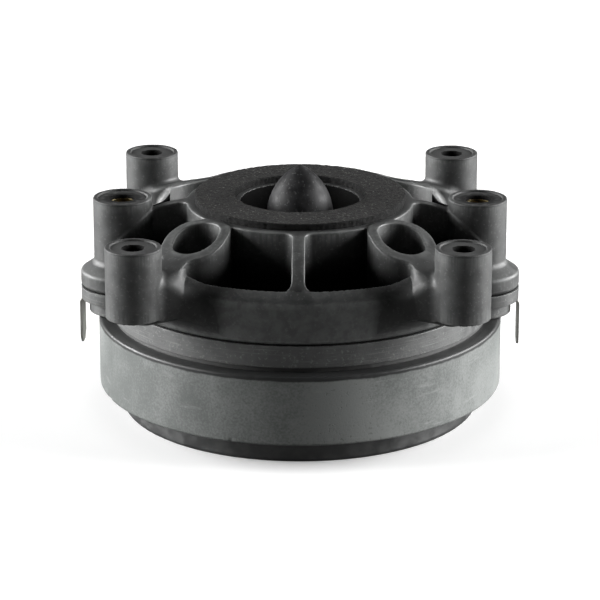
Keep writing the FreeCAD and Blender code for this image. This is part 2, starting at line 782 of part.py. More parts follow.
def throat_housing():
    """One moulding: domed body, hub, ribs, arms with screw wells, four corner and two mid posts."""
    quarter = corner_quarter()
    ears = [mid_ear(side) for side in SIDES.values()]
    body = joined([housing_body()] + four_ways(quarter) + ears)
    pockets = []
    for face in pocket_faces():
        pockets += four_ways(pocket(face))
    body = body.cut(pockets)
    posts = []
    for side in SIDES.values():
        posts.append(rod(side * MID_POST_X, 0, MID_POST_R, Z_BODY, Z_POST))
        for depth in DEPTHS.values():
            posts.append(rod(side * CORNER_X, depth * CORNER_Y, CORNER_POST_R, Z_LUG, Z_POST))
    body = joined([body] + posts)
    cutters = four_ways(raised(well_face(), Z_WELL, Z_ABOVE))
    insert_bottom, insert_top = insert_levels()
    for side in SIDES.values():
        x = side * MID_POST_X
        cutters.append(rod(x, 0, MID_RECESS_R, Z_POST - RECESS_DEPTH, Z_ABOVE))
        cutters.append(rod(x, 0, COLLAR_BORE_R, insert_top, Z_ABOVE))
        cutters.append(rod(x, 0, INSERT_R, insert_bottom, insert_top))
        cutters.append(rod(x, 0, INSERT_BORE_R, insert_bottom - BLIND_BORE_L, insert_bottom))
        for depth in DEPTHS.values():
            y = depth * CORNER_Y
            cutters.append(rod(side * CORNER_X, y, CORNER_RECESS_R, Z_POST - RECESS_DEPTH, Z_ABOVE))
            cutters.append(rod(side * CORNER_X, y, CORNER_HOLE_R, 0, Z_ABOVE))
    hole_r = SCREW_R + SCREW_CLEARANCE
    cutters += [rod(x, y, hole_r, Z_BODY, Z_WELL) for name, x, y in screw_places()]
    return body.cut(cutters)


def insert(side):
    """Brass insert moulded into a mid post, below a plastic collar."""
    bottom, top = insert_levels()
    return turned_at(
        side * MID_POST_X,
        0,
        (INSERT_BORE_R, bottom),
        (INSERT_R, bottom),
        (INSERT_R, top),
        (INSERT_BORE_R, top),
    )


def throat_gasket():
    """Foam ring on the seat round the throat."""
    top = Z_SEAT + GASKET_T
    edge = GASKET_EDGE_R
    return turned(
        (GASKET_BORE_R, Z_SEAT),
        (GASKET_R, Z_SEAT),
        arc((GASKET_R - edge, top - edge), edge, 0, 90),
        arc((GASKET_BORE_R + edge, top - edge), edge, 90, 180),
    )


def assembly_screw(x, y):
    """Pan head screw with a cross recess, at the bottom of a well."""
    crown = SCREW_CROWN_R
    head_top = Z_WELL + SCREW_HEAD_H
    solid = turned_at(
        x,
        y,
        (0, Z_DECK - SCREW_GRIP),
        (SCREW_R, Z_DECK - SCREW_GRIP),
        (SCREW_R, Z_WELL),
        (SCREW_HEAD_R, Z_WELL),
        arc((SCREW_HEAD_R - crown, head_top - crown), crown, 0, 90),
        (0, head_top),
    )
    cross = []
    for half_x, half_y in ((CROSS_L / 2, CROSS_W / 2), (CROSS_W / 2, CROSS_L / 2)):
        cross.append(block(x - half_x, x + half_x, y - half_y, y + half_y, head_top - CROSS_DEPTH, Z_ABOVE))
    return solid.cut(cross)


def save(name, shape):
    """Write one sub-part to its own file."""
    solids = shape.Solids
    print(f"{name}: {len(solids)} solid, volume {shape.Volume:.1f}, valid {shape.isValid()}")
    shape = solids[0] if len(solids) == 1 else Part.makeCompound(solids)
    shape.exportStep(f"parts/{name}.step")


def main():
    """Build and write every sub-part."""
    save("back_plate", back_plate())
    save("magnet", magnet())
    save("pole_piece", pole_piece())
    save("pole_cap", pole_cap())
    save("damping_felt", damping_felt())
    save("top_plate", top_plate())
    save("diaphragm_carrier", diaphragm_carrier())
    save("housing_seal", housing_seal())
    save("diaphragm_dome", dome())
    save("surround", surround())
    save("voice_coil_former", voice_coil_former())
    save("voice_coil", voice_coil())
    save("phase_plug", phase_plug())
    save("throat_housing", throat_housing())
    save("throat_gasket", throat_gasket())
    for name, side in SIDES.items():
        save(f"insert_{name}", insert(side))
        save(f"terminal_{name}", terminal(side, carrier_turns()[name]))
        save(f"rivet_{name}", rivet(side))
        save(f"lead_{name}", lead(side))
    for name, x, y in screw_places():
        save(f"screw_{name}", assembly_screw(x, y))


main()
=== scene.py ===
import math
import bmesh
import bpy
import numpy as np
import openvdb
from mathutils import Matrix, Vector, noise


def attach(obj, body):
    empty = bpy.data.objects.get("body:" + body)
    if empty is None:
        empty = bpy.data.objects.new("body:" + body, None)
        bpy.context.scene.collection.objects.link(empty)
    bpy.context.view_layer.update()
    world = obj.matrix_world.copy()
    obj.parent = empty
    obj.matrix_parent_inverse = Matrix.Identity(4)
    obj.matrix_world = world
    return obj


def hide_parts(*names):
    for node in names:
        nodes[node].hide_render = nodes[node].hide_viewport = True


# Looks of the compression driver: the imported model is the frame, in metres, +Z along the throat's axis.
# Sizes named here are in millimetres, as in the part's source, and are turned into metres at the end.

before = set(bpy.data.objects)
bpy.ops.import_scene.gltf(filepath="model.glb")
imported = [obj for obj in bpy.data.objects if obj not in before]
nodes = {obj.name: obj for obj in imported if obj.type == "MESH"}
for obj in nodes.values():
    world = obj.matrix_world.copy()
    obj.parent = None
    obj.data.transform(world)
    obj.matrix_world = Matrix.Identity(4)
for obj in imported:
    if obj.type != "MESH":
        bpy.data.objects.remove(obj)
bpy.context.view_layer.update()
MM = 0.001
WIRE_PITCH = 0.16


# Shader helpers

class Shader:
    """Node tree of one material, written in short calls."""

    def __init__(self, name):
        self.material = bpy.data.materials.new(name)
        self.material.use_nodes = True
        self.tree = self.material.node_tree
        self.surface = self.tree.nodes["Principled BSDF"]
        self.place = self.node("ShaderNodeTexCoord").outputs["Object"]

    def node(self, kind, **settings):
        made = self.tree.nodes.new(kind)
        for key, value in settings.items():
            setattr(made, key, value)
        return made

    def feed(self, socket, value):
        """Link an output to a socket, or set the socket's own value."""
        if isinstance(value, bpy.types.NodeSocket):
            self.tree.links.new(value, socket)
        else:
            socket.default_value = value

    def grain(self, size_mm, detail=2.0, stretch=(1, 1, 1), roughness=0.55, distortion=0.0):
        """Noise whose features are about size_mm wide, drawn out where stretch is over 1."""
        mapping = self.node("ShaderNodeMapping")
        self.feed(mapping.inputs["Vector"], self.place)
        scale = [1 / (size_mm * MM * amount) for amount in stretch]
        mapping.inputs["Scale"].default_value = scale
        texture = self.node("ShaderNodeTexNoise")
        self.feed(texture.inputs["Vector"], mapping.outputs["Vector"])
        texture.inputs["Scale"].default_value = 1.0
        texture.inputs["Detail"].default_value = detail
        texture.inputs["Roughness"].default_value = roughness
        texture.inputs["Distortion"].default_value = distortion
        return texture.outputs["Fac"]

    def cells(self, size_mm, feature="F1"):
        """Cell pattern with cells about size_mm wide."""
        texture = self.node("ShaderNodeTexVoronoi", feature=feature)
        self.feed(texture.inputs["Vector"], self.place)
        texture.inputs["Scale"].default_value = 1 / (size_mm * MM)
        return texture.outputs["Distance"]

    def span(self, value, low, high, to_low=0.0, to_high=1.0):
        """Map a value's range onto another, clamped."""
        mapped = self.node("ShaderNodeMapRange", interpolation_type="SMOOTHSTEP")
        for index, amount in enumerate((value, low, high, to_low, to_high)):
            self.feed(mapped.inputs[index], amount)
        return mapped.outputs[0]

    def combine(self, operation, first, second):
        """Math node of two values."""
        made = self.node("ShaderNodeMath", operation=operation)
        self.feed(made.inputs[0], first)
        self.feed(made.inputs[1], second)
        return made.outputs[0]

    def add(self, first, second):
        return self.combine("ADD", first, second)

    def times(self, first, second):
        return self.combine("MULTIPLY", first, second)

    def blend(self, share, first, second):
        """Mix of two colours."""
        made = self.node("ShaderNodeMix", data_type="RGBA")
        self.feed(made.inputs[0], share)
        self.feed(made.inputs[6], first if isinstance(first, bpy.types.NodeSocket) else (*first, 1))
        self.feed(made.inputs[7], second if isinstance(second, bpy.types.NodeSocket) else (*second, 1))
        return made.outputs[2]

    def height(self):
        """Height over the floor, in metres."""
        split = self.node("ShaderNodeSeparateXYZ")
        self.feed(split.inputs[0], self.place)
        return split.outputs["Z"]

    def soft_edges(self, radius_mm):
        """Normal that rounds the sharp edges of a mesh."""
        made = self.node("ShaderNodeBevel", samples=6)
        made.inputs["Radius"].default_value = radius_mm * MM
        return made.outputs["Normal"]

    def edges(self, radius_mm, low=0.03, high=0.25):
        """Mask that is 1 along sharp edges."""
        rounded = self.soft_edges(radius_mm)
        dot = self.node("ShaderNodeVectorMath", operation="DOT_PRODUCT")
        self.feed(dot.inputs[0], rounded)
        self.feed(dot.inputs[1], self.node("ShaderNodeNewGeometry").outputs["Normal"])
        return self.span(dot.outputs["Value"], 1 - low, 1 - high)

    def bump(self, height, depth_mm, strength=1.0, normal=None):
        made = self.node("ShaderNodeBump")
        self.feed(made.inputs["Height"], height)
        made.inputs["Distance"].default_value = depth_mm * MM
        made.inputs["Strength"].default_value = strength
        if normal is not None:
            self.feed(made.inputs["Normal"], normal)
        return made.outputs["Normal"]

    def attribute(self, name):
        return self.node("ShaderNodeAttribute", attribute_name=name).outputs["Fac"]

    def finish(self, colour, roughness, normal=None, metallic=0.0, specular=0.5, index=1.5):
        self.feed(self.surface.inputs["Base Color"], colour)
        self.feed(self.surface.inputs["Roughness"], roughness)
        self.surface.inputs["Metallic"].default_value = metallic
        self.surface.inputs["Specular IOR Level"].default_value = specular
        self.surface.inputs["IOR"].default_value = index
        if normal is not None:
            self.feed(self.surface.inputs["Normal"], normal)
        return self.material


# Materials

def moulded_plastic(name, dark, light, rough_low, rough_high, worn, edge_attribute=None, streaks=0.0,
                    specular=0.5, index=1.5):
    """Matte moulded plastic: mottled tone and sheen, fine grain, dust specks, paler edges that are rubbed and
    carry a painted highlight.

    The edge attribute is over 0 where the plastic is paler, and under 0 where painted shade makes it dark and
    dull: down in recesses, in holes and on the post tops.
    """
    s = Shader(name)
    mottle = s.grain(2.2, detail=4.0, roughness=0.65)
    fine = s.grain(0.32, detail=2.0)
    cloud = s.grain(9.0, detail=2.0)
    tone = s.add(s.times(mottle, 0.6), s.times(cloud, 0.4))
    colour = s.blend(s.span(tone, 0.35, 0.65), dark, light)
    specks = s.span(s.grain(0.55, detail=1.0), 0.63, 0.71)
    colour = s.blend(s.times(specks, 0.45), colour, worn)
    # Edges are paler from rubbed plastic and a painted highlight. On the housing the attribute also lightens
    # the side wall with dust and painted light.
    edge = s.attribute(edge_attribute) if edge_attribute else s.edges(0.25)
    broken = s.span(mottle, 0.35, 0.65, 0.5, 1.0)
    colour = s.blend(s.times(s.times(edge, broken), 0.6), colour, worn)
    height = s.add(fine, s.times(mottle, 1.2))
    if edge_attribute:
        # Painted shade: under 0 the colour goes towards near black.
        colour = s.blend(s.span(edge, 0.0, -1.0), colour, (0.005, 0.005, 0.005))
        rough_high = s.span(edge, 0.0, -1.0, rough_high, 1.0)
        rough_low = s.span(edge, 0.0, -1.0, rough_low, 1.0)
        # Painted shade also dims the sheen there, through the specular tint.
        tint = s.blend(s.span(edge, -0.1, -0.8), (1, 1, 1), (0.12, 0.12, 0.12))
        s.feed(s.surface.inputs["Specular Tint"], tint)
    if streaks:
        lines = s.grain(0.22, detail=3.0, stretch=(40, 40, 1))
        colour = s.blend(s.times(s.span(lines, 0.56, 0.72), streaks), colour, worn)
        height = s.add(height, s.times(lines, 1.0))
    sheen = s.add(s.times(mottle, 0.7), s.times(fine, 0.3))
    rough = s.span(sheen, 0.3, 0.7, rough_low, rough_high)
    rounded = None if edge_attribute else s.soft_edges(0.22)
    normal = s.bump(height, 0.03 if streaks else 0.012, 0.9, rounded)
    return s.finish(colour, rough, normal, specular=specular, index=index)


def ferrite_ceramic():
    """Ground ferrite: even grey with faint smudges, dark pores, paler chipped edges, near-black painted shade
    on its top face.
    """
    s = Shader("ferrite")
    cloud = s.grain(15.0, detail=3.0, stretch=(1, 1, 1.3))
    fine = s.grain(0.45, detail=3.0)
    tone = s.add(s.times(cloud, 0.65), s.times(fine, 0.35))
    colour = s.blend(s.span(tone, 0.38, 0.62), (0.140, 0.150, 0.145), (0.245, 0.256, 0.249))
    pores = s.span(s.grain(0.7, detail=2.0), 0.63, 0.71)
    colour = s.blend(s.times(pores, 0.5), colour, (0.12, 0.125, 0.12))
    scuffs = s.span(s.grain(1.6, detail=4.0, stretch=(6, 6, 1)), 0.62, 0.75)
    colour = s.blend(s.times(scuffs, 0.3), colour, (0.40, 0.41, 0.40))
    chipped = s.attribute("chip")
    colour = s.blend(s.times(chipped, 0.3), colour, (0.30, 0.305, 0.30))
    # Painted shade: the top face goes near black.
    painted_top_shade = s.span(s.add(s.height(), s.times(s.grain(3.0), 0.0006)), 0.0197, 0.0201)
    colour = s.blend(painted_top_shade, colour, (0.022, 0.023, 0.023))
    rough = s.span(cloud, 0.3, 0.7, 0.40, 0.55)
    height = s.add(fine, s.times(pores, -0.8))
    return s.finish(colour, rough, s.bump(height, 0.02, 0.8), specular=0.5, index=1.5)


def black_steel(name, dark, light, rough_low, rough_high):
    """Steel with a thin black finish, faintly turned, worn to metal at its edges."""
    s = Shader(name)
    mottle = s.grain(3.0, detail=4.0, roughness=0.6)
    lines = s.grain(0.25, detail=2.0, stretch=(30, 30, 1))
    colour = s.blend(s.span(mottle, 0.35, 0.65), dark, light)
    edge = s.times(s.edges(0.3), s.span(mottle, 0.42, 0.6))
    colour = s.blend(s.times(edge, 0.5), colour, (0.22, 0.22, 0.21))
    rough = s.span(mottle, 0.3, 0.7, rough_low, rough_high)
    height = s.add(s.times(lines, 0.6), mottle)
    return s.finish(colour, rough, s.bump(height, 0.015, 0.8, s.soft_edges(0.25)), specular=1.0)


def metal(name, dark, light, rough_low, rough_high, grain_mm=0.4, stretch=(1, 1, 1), bevel_mm=0.12):
    """Bare metal: tone and sheen vary a little, edges are softened."""
    s = Shader(name)
    lines = s.grain(grain_mm, detail=3.0, stretch=stretch)
    cloud = s.grain(grain_mm * 9, detail=3.0)
    tone = s.add(s.times(lines, 0.5), s.times(cloud, 0.5))
    colour = s.blend(s.span(tone, 0.35, 0.65), dark, light)
    rough = s.span(tone, 0.35, 0.65, rough_low, rough_high)
    return s.finish(colour, rough, s.bump(lines, 0.012, 0.7, s.soft_edges(bevel_mm)), metallic=1.0)


def gasket_foam():
    """Fibrous dark foam: crumbly pores, short pale fibres, near-black painted shade along its inner and outer
    edges.
    """
    s = Shader("gasket_foam")
    crumbs = s.grain(0.42, detail=4.0, roughness=0.75)
    cloud = s.grain(4.0, detail=2.0)
    colour = s.blend(s.span(crumbs, 0.42, 0.60), (0.003, 0.003, 0.003), (0.027, 0.0265, 0.0255))
    fibres = s.span(s.grain(0.30, detail=2.0, stretch=(1, 3, 1), distortion=1.5), 0.66, 0.74)
    fibre_share = s.times(fibres, s.span(cloud, 0.4, 0.62, 0.2, 0.7))
    colour = s.blend(fibre_share, colour, (0.16, 0.155, 0.145))
    specks = s.span(s.grain(0.42, detail=1.0, distortion=0.6), 0.68, 0.75)
    colour = s.blend(s.times(specks, 0.6), colour, (0.20, 0.195, 0.18))
    # Painted shade: near black along the inner and outer edges.
    colour = s.blend(s.times(s.attribute("cut"), 0.8), colour, (0.002, 0.002, 0.002))
    height = s.add(crumbs, s.times(fibres, 0.5))
    rough = s.span(crumbs, 0.3, 0.7, 0.78, 0.95)
    return s.finish(colour, rough, s.bump(height, 0.16, 1.0), specular=0.25)


def cloth(name, dark, light, size_mm):
    """Felted or woven fibre for the hidden soft parts."""
    s = Shader(name)
    fibre = s.grain(size_mm, detail=4.0, stretch=(1, 2.5, 1), distortion=1.0)
    weave = s.cells(size_mm * 1.4)
    tone = s.add(s.times(fibre, 0.7), s.times(weave, 0.3))
    colour = s.blend(s.span(tone, 0.3, 0.6), dark, light)
    rough = s.span(fibre, 0.3, 0.7, 0.8, 0.95)
    return s.finish(colour, rough, s.bump(s.add(fibre, weave), 0.1, 0.8), specular=0.2)


def film(name, dark, light, rough_low, rough_high):
    """Formed plastic film."""
    s = Shader(name)
    cloud = s.grain(3.0, detail=3.0)
    fine = s.grain(0.4, detail=2.0)
    colour = s.blend(s.span(cloud, 0.35, 0.65), dark, light)
    return s.finish(colour, s.span(fine, 0.3, 0.7, rough_low, rough_high), s.bump(fine, 0.01, 0.6))


def enamelled_wire():
    """Turns of enamelled wire, drawn by height."""
    s = Shader("winding")
    turns = s.node("ShaderNodeTexWave", wave_type="BANDS", bands_direction="Z", wave_profile="SIN")
    s.feed(turns.inputs["Vector"], s.place)
    turns.inputs["Scale"].default_value = math.pi / (20 * WIRE_PITCH * MM)
    turns.inputs["Distortion"].default_value = 0.0
    colour = s.blend(turns.outputs["Fac"], (0.16, 0.05, 0.02), (0.62, 0.30, 0.14))
    tint = s.grain(1.5)
    rough = s.span(tint, 0.3, 0.7, 0.28, 0.42)
    return s.finish(colour, rough, s.bump(turns.outputs["Fac"], 0.05, 0.9), metallic=0.7)


MATERIALS = {
    "housing_plastic": moulded_plastic(
        "housing_plastic", (0.020, 0.0205, 0.0205), (0.041, 0.0425, 0.042), 0.46, 0.64, (0.12, 0.125, 0.122),
        edge_attribute="wear_and_painted_light", specular=0.8),
    # Near-black, dull plastic on the throat bore: painted shade down the throat.
    "bore_painted_shade": moulded_plastic(
        "bore_painted_shade", (0.0010, 0.0010, 0.0010), (0.0035, 0.0035, 0.0035), 0.6, 0.8, (0.010, 0.010, 0.010),
        specular=0.06),
    "carrier_plastic": moulded_plastic(
        "carrier_plastic", (0.038, 0.0395, 0.039), (0.072, 0.075, 0.073), 0.44, 0.62, (0.20, 0.21, 0.20),
        streaks=0.5, specular=1.0, index=1.55),
    "plug_plastic": moulded_plastic(
        "plug_plastic", (0.008, 0.008, 0.0085), (0.026, 0.026, 0.027), 0.38, 0.64, (0.10, 0.10, 0.10),
        specular=0.15),
    "gasket_foam": gasket_foam(),
    "seal_rubber": moulded_plastic(
        "seal_rubber", (0.004, 0.004, 0.004), (0.009, 0.009, 0.009), 0.7, 0.9, (0.02, 0.02, 0.02),
        specular=0.15),
    "ferrite": ferrite_ceramic(),
    "back_steel": black_steel("back_steel", (0.022, 0.023, 0.023), (0.045, 0.047, 0.046), 0.38, 0.56),
    "top_steel": black_steel("top_steel", (0.012, 0.012, 0.012), (0.024, 0.025, 0.024), 0.50, 0.70),
    "pole_steel": metal(
        "pole_steel", (0.34, 0.34, 0.35), (0.50, 0.50, 0.50), 0.28, 0.42, grain_mm=0.3, stretch=(20, 20, 1)),
    "copper": metal("copper", (0.62, 0.30, 0.18), (0.80, 0.44, 0.28), 0.22, 0.38),
    "winding": enamelled_wire(),
    "felt": cloth("felt", (0.16, 0.16, 0.165), (0.36, 0.36, 0.37), 0.35),
    "dome_film": film("dome_film", (0.38, 0.33, 0.22), (0.52, 0.46, 0.33), 0.25, 0.35),
    "surround_cloth": cloth("surround_cloth", (0.13, 0.11, 0.075), (0.26, 0.22, 0.16), 0.25),
    "former_film": film("former_film", (0.50, 0.26, 0.07), (0.68, 0.40, 0.14), 0.2, 0.3),
    "tinned_tab": metal(
        "tinned_tab", (0.50, 0.49, 0.46), (0.74, 0.73, 0.69), 0.42, 0.58, grain_mm=0.35, stretch=(1, 1, 8)),
    "brass": metal(
        "brass", (0.20, 0.16, 0.09), (0.36, 0.29, 0.16), 0.26, 0.42, grain_mm=0.3, stretch=(10, 10, 1)),
    "screw_steel": metal("screw_steel", (0.16, 0.16, 0.165), (0.32, 0.32, 0.33), 0.28, 0.42),
}

NODE_LOOKS = {
    "diaphragm_carrier": "carrier_plastic",
    "phase_plug": "plug_plastic",
    "housing_seal": "seal_rubber",
    "back_plate": "back_steel",
    "top_plate": "top_steel",
    "pole_piece": "pole_steel",
    "pole_cap": "copper",
    "damping_felt": "felt",
    "diaphragm_dome": "dome_film",
    "surround": "surround_cloth",
    "voice_coil_former": "former_film",
    "voice_coil": "winding",
    "insert_left": "brass",
    "insert_right": "brass",
    "rivet_left": "brass",
    "rivet_right": "brass",
    "lead_left": "copper",
    "lead_right": "copper",
    "terminal_left": "tinned_tab",
    "terminal_right": "tinned_tab",
    "screw_front_left": "screw_steel",
    "screw_front_right": "screw_steel",
    "screw_back_left": "screw_steel",
    "screw_back_right": "screw_steel",
    "throat_housing": "housing_plastic",
    "throat_gasket": "gasket_foam",
    "magnet": "ferrite",
}

for node_name, look in NODE_LOOKS.items():
    mesh = nodes[node_name].data
    mesh.materials.clear()
    mesh.materials.append(MATERIALS[look])


# Mesh helpers

def add_piece(name, points, faces, look, smooth=True):
    """Mesh piece from points in millimetres."""
    mesh = bpy.data.meshes.new(name)
    mesh.from_pydata((np.asarray(points) * MM).tolist(), [], faces)
    mesh.materials.append(MATERIALS[look])
    mesh.polygons.foreach_set("use_smooth", [smooth] * len(mesh.polygons))
    mesh.update()
    made = bpy.data.objects.new(name, mesh)
    bpy.context.scene.collection.objects.link(made)
    return made


# Throat housing: one moulding drawn as a distance field, so most of its edges and joints are rounded

BODY_R = 41.0
SHOULDER_START_R = 22.6
HUB_R = 24.3
THROAT_R = 12.7
CAVITY_R = 22.9
RIM_T = 1.8
Z_BODY = 26.6
Z_SEAT = 45.4
Z_SIDE_TOP = 35.4
Z_POST = 46.0
Z_POCKET = 30.0
Z_WELL = 31.0
Z_LUG = 30.9
Z_LUG_TOP = 41.0
LUG_START = (20.5, 31.9)
LUG_END = (31.0, 32.4)
LUG_R = 4.45
LUG_SLOPE = 0.75
Z_LUG_START = 34.6
Z_PLUG_FOOT = 27.2
Z_PLUG_TOP = 38.0
Z_CAVITY_TOP = 28.75
PLUG_FOOT_R = 17.4
PLUG_TOP_R = 13.6
PLUG_CLEARANCE = 0.1
ARM_SLOPE = 0.31
ARM_R = 7.15
BOSS_START = (21.4, 21.4)
BOSS_END = (21.9, 23.0)
BAR_HALF = 2.4
SCREW_AT = 30.8 * math.sqrt(0.5)
WELL_START = (21.1, 20.9)
WELL_END = (21.6, 22.7)
WELL_R = 4.65
NECK_START = (24.3, 25.5)
NECK_END = (26.2, 31.0)
NECK_HALF = 2.1
CORNER = (33.7, 35.5)
CORNER_POST_R = 5.84
MID_X = 38.1
MID_POST_R = 6.3
EAR_R = 9.2
EAR_SLOPE = 0.7
Z_EAR = 31.9
RECESS_DEPTH = 0.35
CORNER_RECESS_R = 4.8
CORNER_HOLE_R = 2.2
MID_RECESS_R = 5.3
MID_MOUTH_R = 2.7
INSERT_R = 3.6
MID_BORE_R = 2.5
Z_INSERT_TOP = Z_POST - 1.2
Z_INSERT_FOOT = Z_POST - 11.2
Z_MID_BORE_FOOT = Z_POST - 14.2
SCREW_HOLE_R = 2.15


def rounded_and(first, second, radius):
    """Intersection of two solids with a convex round of this radius."""
    corner = np.hypot(np.maximum(first + radius, 0), np.maximum(second + radius, 0))
    return np.minimum(np.maximum(first, second), -radius) + corner


def rounded_or(first, second, radius):
    """Union of two solids with a concave fillet of this radius."""
    corner = np.hypot(np.maximum(radius - first, 0), np.maximum(radius - second, 0))
    return np.maximum(np.minimum(first, second), radius) - corner


def slab(value, low, high):
    """Distance to the space between two values of one coordinate."""
    return np.maximum(low - value, value - high)


def strip(x, y, start, end, half):
    """Plan distance to a round-ended strip between two points."""
    ax, ay = start
    bx, by = end[0] - ax, end[1] - ay
    share = np.clip(((x - ax) * bx + (y - ay) * by) / (bx * bx + by * by), 0, 1)
    return np.hypot(x - ax - share * bx, y - ay - share * by) - half


def arm_plan(x, y):
    """Plan of a diagonal arm: egg-shaped boss about the well, narrow neck and bar to the corner post."""
    boss = strip(x, y, BOSS_START, BOSS_END, ARM_R)
    neck = strip(x, y, NECK_START, NECK_END, NECK_HALF)
    bar = strip(x, y, NECK_END, CORNER, BAR_HALF)
    return rounded_or(rounded_or(boss, neck, 2.5), bar, 1.5)


def housing_field(x, y, z):
    """Signed distance of the housing, negative inside, for x and y over 0; the rest mirrors it."""
    r = np.hypot(x, y)
    mid = np.hypot(x - MID_X, y)
    corner = np.hypot(x - CORNER[0], y - CORNER[1])
    plan = arm_plan(x, y)

    run = BODY_R - SHOULDER_START_R
    drop = Z_SEAT - Z_SIDE_TOP
    arc_r = (run ** 2 + drop ** 2) / (2 * drop)
    arc_z = Z_SEAT - arc_r
    shoulder = np.hypot(np.maximum(r - SHOULDER_START_R, 0), np.maximum(z - arc_z, 0)) - arc_r
    body = rounded_and(r - BODY_R, shoulder, 0.8)

    slope = math.hypot(1, ARM_SLOPE)
    arm_top = (z - Z_SEAT + ARM_SLOPE * np.maximum(r - HUB_R, 0)) / slope
    arm = np.maximum(rounded_and(plan, arm_top, 0.3), Z_LUG - z)
    lug_plan = strip(x, y, LUG_START, LUG_END, LUG_R)
    lug_rise = (z - Z_LUG_START - LUG_SLOPE * (x - LUG_START[0])) / math.hypot(1, LUG_SLOPE)
    lug_top = np.maximum(z - Z_LUG_TOP, lug_rise)
    lug = np.maximum(rounded_and(lug_plan, lug_top, 1.8), Z_LUG - z)
    ear_top = (z - Z_EAR + (mid - MID_POST_R) * EAR_SLOPE) / math.hypot(1, EAR_SLOPE)
    ear = rounded_and(mid - EAR_R, ear_top, 0.35)

    solid = rounded_or(body, arm, 0.6)
    solid = np.minimum(solid, rounded_and(rounded_or(solid, lug, 4.0), arm_top, 1.2))
    solid = rounded_or(solid, ear, 0.6)

    pocket = rounded_and(r - (BODY_R - RIM_T), HUB_R - r, 1.7)
    pocket = rounded_and(pocket, 1.35 - x, 1.7)
    pocket = rounded_and(pocket, 1.25 - y, 1.7)
    pocket = rounded_and(pocket, MID_POST_R - mid, 1.2)
    pocket = rounded_and(pocket, -plan, 0.8)
    pocket = rounded_and(pocket, Z_POCKET - z, 1.2)
    solid = rounded_and(solid, -pocket, 0.28)

    corner_post = rounded_and(corner - CORNER_POST_R, z - Z_POST, 0.3)
    corner_post = np.maximum(corner_post, Z_LUG - z)
    mid_post = rounded_and(mid - MID_POST_R, z - Z_POST, 0.3)
    solid = rounded_or(solid, corner_post, 1.3)
    solid = rounded_or(solid, mid_post, 0.6)

    well = strip(x, y, WELL_START, WELL_END, WELL_R)
    well = rounded_and(well, Z_WELL - z, 0.4)
    solid = rounded_and(solid, -well, 0.28)
    screw_hole = np.hypot(x - SCREW_AT, y - SCREW_AT) - SCREW_HOLE_R
    solid = np.maximum(solid, -screw_hole)

    throat = rounded_and(solid, THROAT_R - r, 0.15)
    taper = (PLUG_FOOT_R - PLUG_TOP_R) / (Z_PLUG_TOP - Z_PLUG_FOOT)
    seat = (r - PLUG_TOP_R - PLUG_CLEARANCE - taper * (Z_PLUG_TOP - z)) / math.hypot(1, taper)
    seat = np.maximum(seat, z - Z_PLUG_TOP)
    cavity = np.maximum(r - CAVITY_R, z - Z_CAVITY_TOP)
    solid = np.maximum(throat, -np.minimum(seat, cavity))

    solid = np.maximum(solid, -np.maximum(corner - CORNER_RECESS_R, Z_POST - RECESS_DEPTH - z))
    solid = np.maximum(solid, CORNER_HOLE_R - corner)
    solid = np.maximum(solid, -np.maximum(mid - MID_RECESS_R, Z_POST - RECESS_DEPTH - z))
    solid = np.maximum(solid, -np.maximum(mid - MID_MOUTH_R, Z_INSERT_TOP - z))
    solid = np.maximum(solid, -np.maximum(mid - INSERT_R, slab(z, Z_INSERT_FOOT, Z_INSERT_TOP)))
    solid = np.maximum(solid, -np.maximum(mid - MID_BORE_R, slab(z, Z_MID_BORE_FOOT, Z_INSERT_FOOT)))
    return rounded_and(solid, Z_BODY - z, 0.7)


def box_blur(values, reach):
    """Mean of each value and its neighbours up to reach cells away along each axis."""
    for axis in range(3):
        pads = [(reach + 1, reach) if i == axis else (0, 0) for i in range(3)]
        total = np.cumsum(np.pad(values, pads, mode="edge"), axis=axis)
        upper = np.take(total, range(2 * reach + 1, total.shape[axis]), axis=axis)
        lower = np.take(total, range(0, total.shape[axis] - 2 * reach - 1), axis=axis)
        values = (upper - lower) / (2 * reach + 1)
    return values


def wear_and_painted_light_values(places, convexity):
    """Over 0 on convex edges, rubbed with a painted highlight, and on the side wall, dusty with painted
    light; under 0 for painted shade on post tops, in holes and down in pockets.
    """
    wear_and_painted_light = np.clip((convexity - 0.07) / 0.16, 0, 1)
    radius = np.hypot(places[:, 0], places[:, 1])
    height = places[:, 2]
    outside = radius > BODY_R - 0.3
    # Outer faces are paler with dust. The side wall below the shoulder is much paler, from dust and painted
    # light.
    wear_and_painted_light[outside] += 0.28
    wear_and_painted_light[outside & (radius < BODY_R + 0.15) & (height < Z_SIDE_TOP)] += 0.85
    # Painted shade: post tops darker.
    wear_and_painted_light[(radius > BODY_R - 8) & (height > Z_POST - 0.5)] = -0.3
    flat = np.abs(places[:, :2])
    # Painted shade: holes near black.
    wear_and_painted_light[np.hypot(flat[:, 0] - CORNER[0], flat[:, 1] - CORNER[1]) < CORNER_HOLE_R + 0.15] = -1
    wear_and_painted_light[np.hypot(flat[:, 0] - MID_X, flat[:, 1]) < INSERT_R + 0.1] = -1
    # Painted shade: darker the deeper it lies in the pockets.
    depth = np.clip((41.0 - height) / 5.5, 0, 1)
    return np.where(radius < BODY_R - RIM_T + 0.1, wear_and_painted_light * (1 - depth) - 0.85 * depth, wear_and_painted_light)


